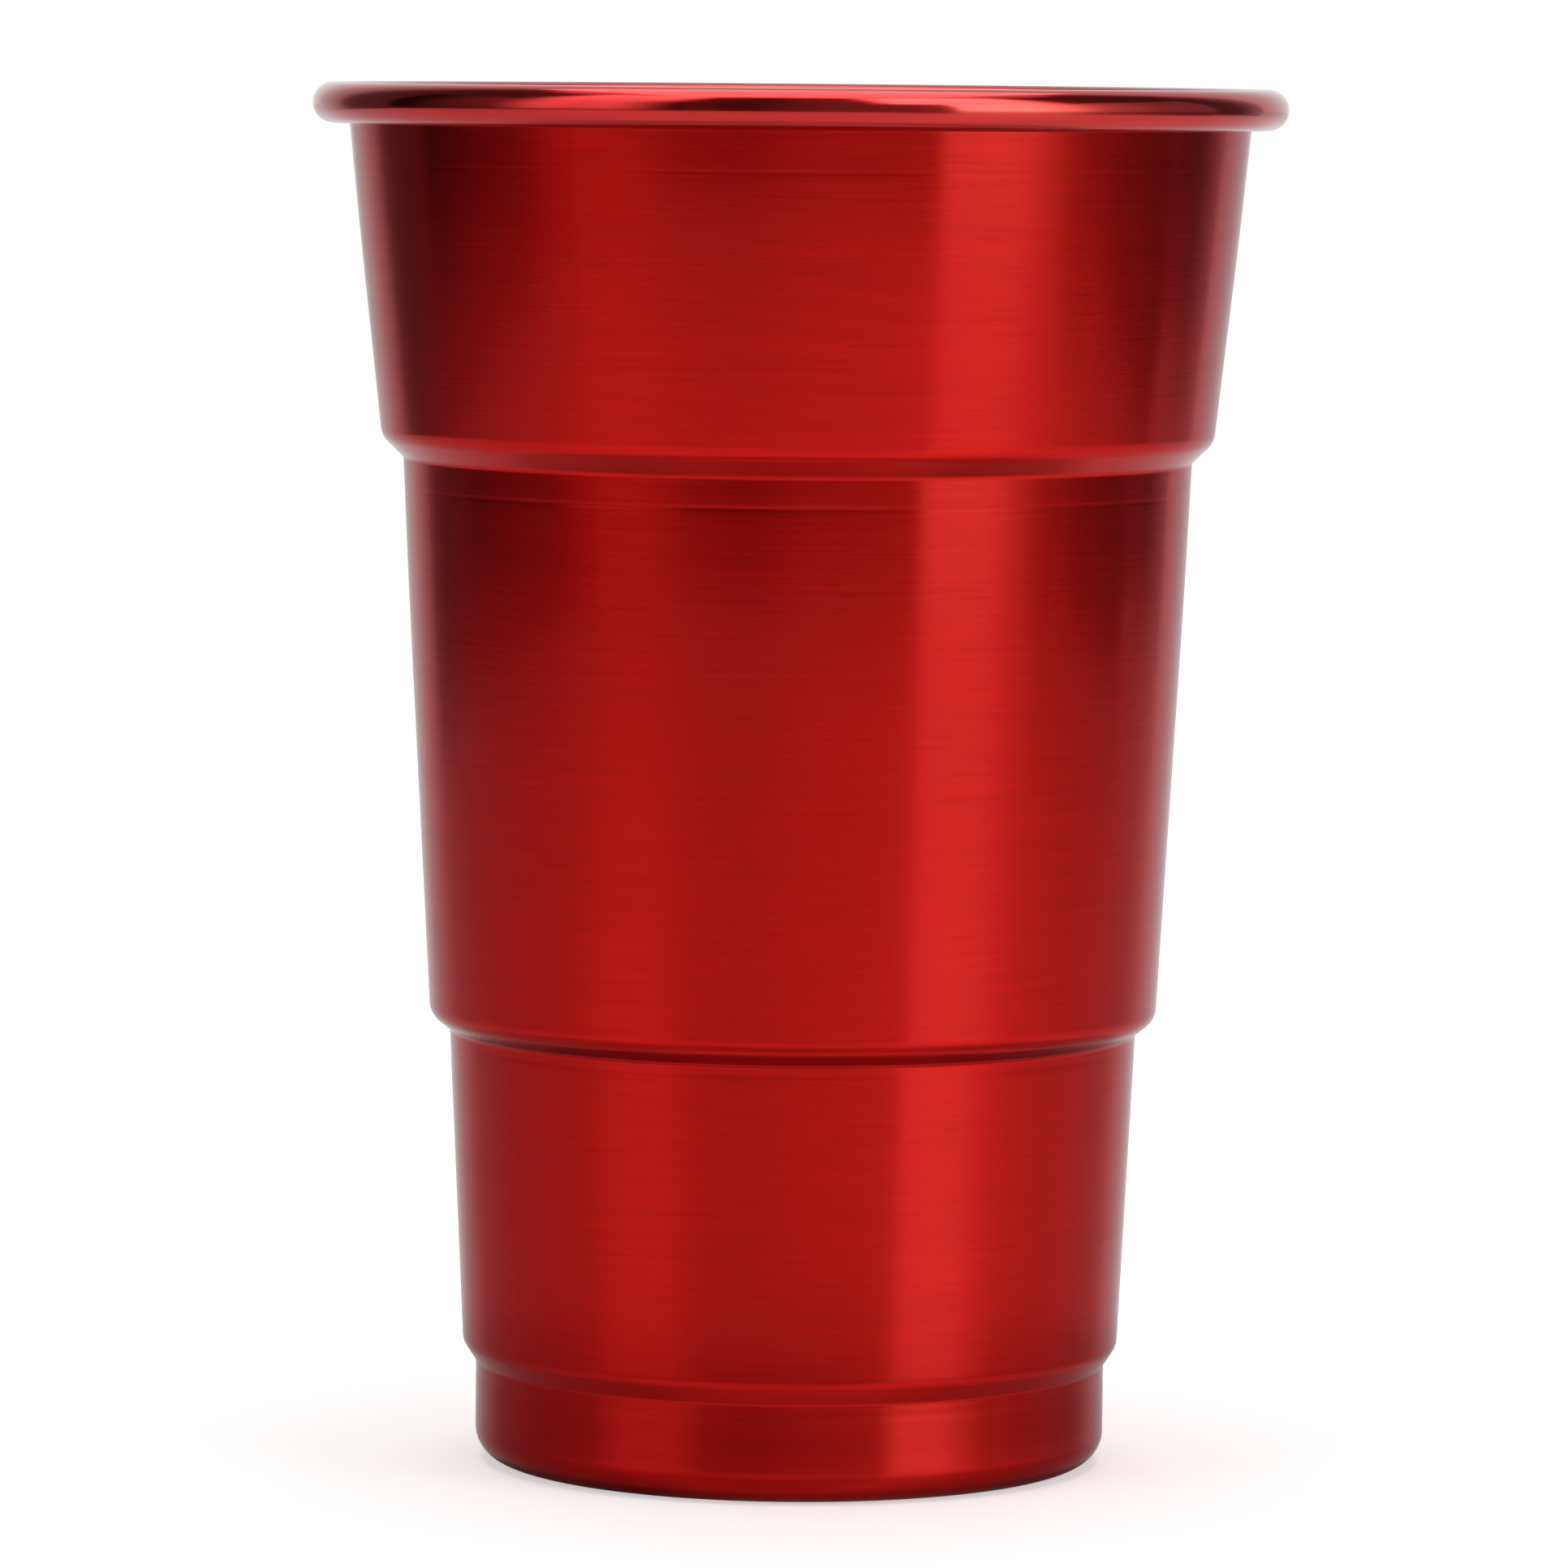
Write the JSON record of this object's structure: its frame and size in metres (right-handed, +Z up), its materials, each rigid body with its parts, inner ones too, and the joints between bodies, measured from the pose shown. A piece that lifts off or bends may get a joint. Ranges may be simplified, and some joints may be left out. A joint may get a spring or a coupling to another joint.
{
  "type": "aluminium cup",
  "caption": "Tapered drinking cup of thin red anodised aluminium, narrowing in steps from a rolled rim to a short straight foot.",
  "frame": {"origin": "middle of the plane that the cup stands on", "axes": "+Z up along the cup's axis towards the mouth; the cup is round, so X and Y are alike"},
  "size_m": [0.092, 0.092, 0.1305],
  "materials": {
    "cup": "satin"
  },
  "bodies": {
    "root": {"cup": "cup"}
  },
  "joints": []
}
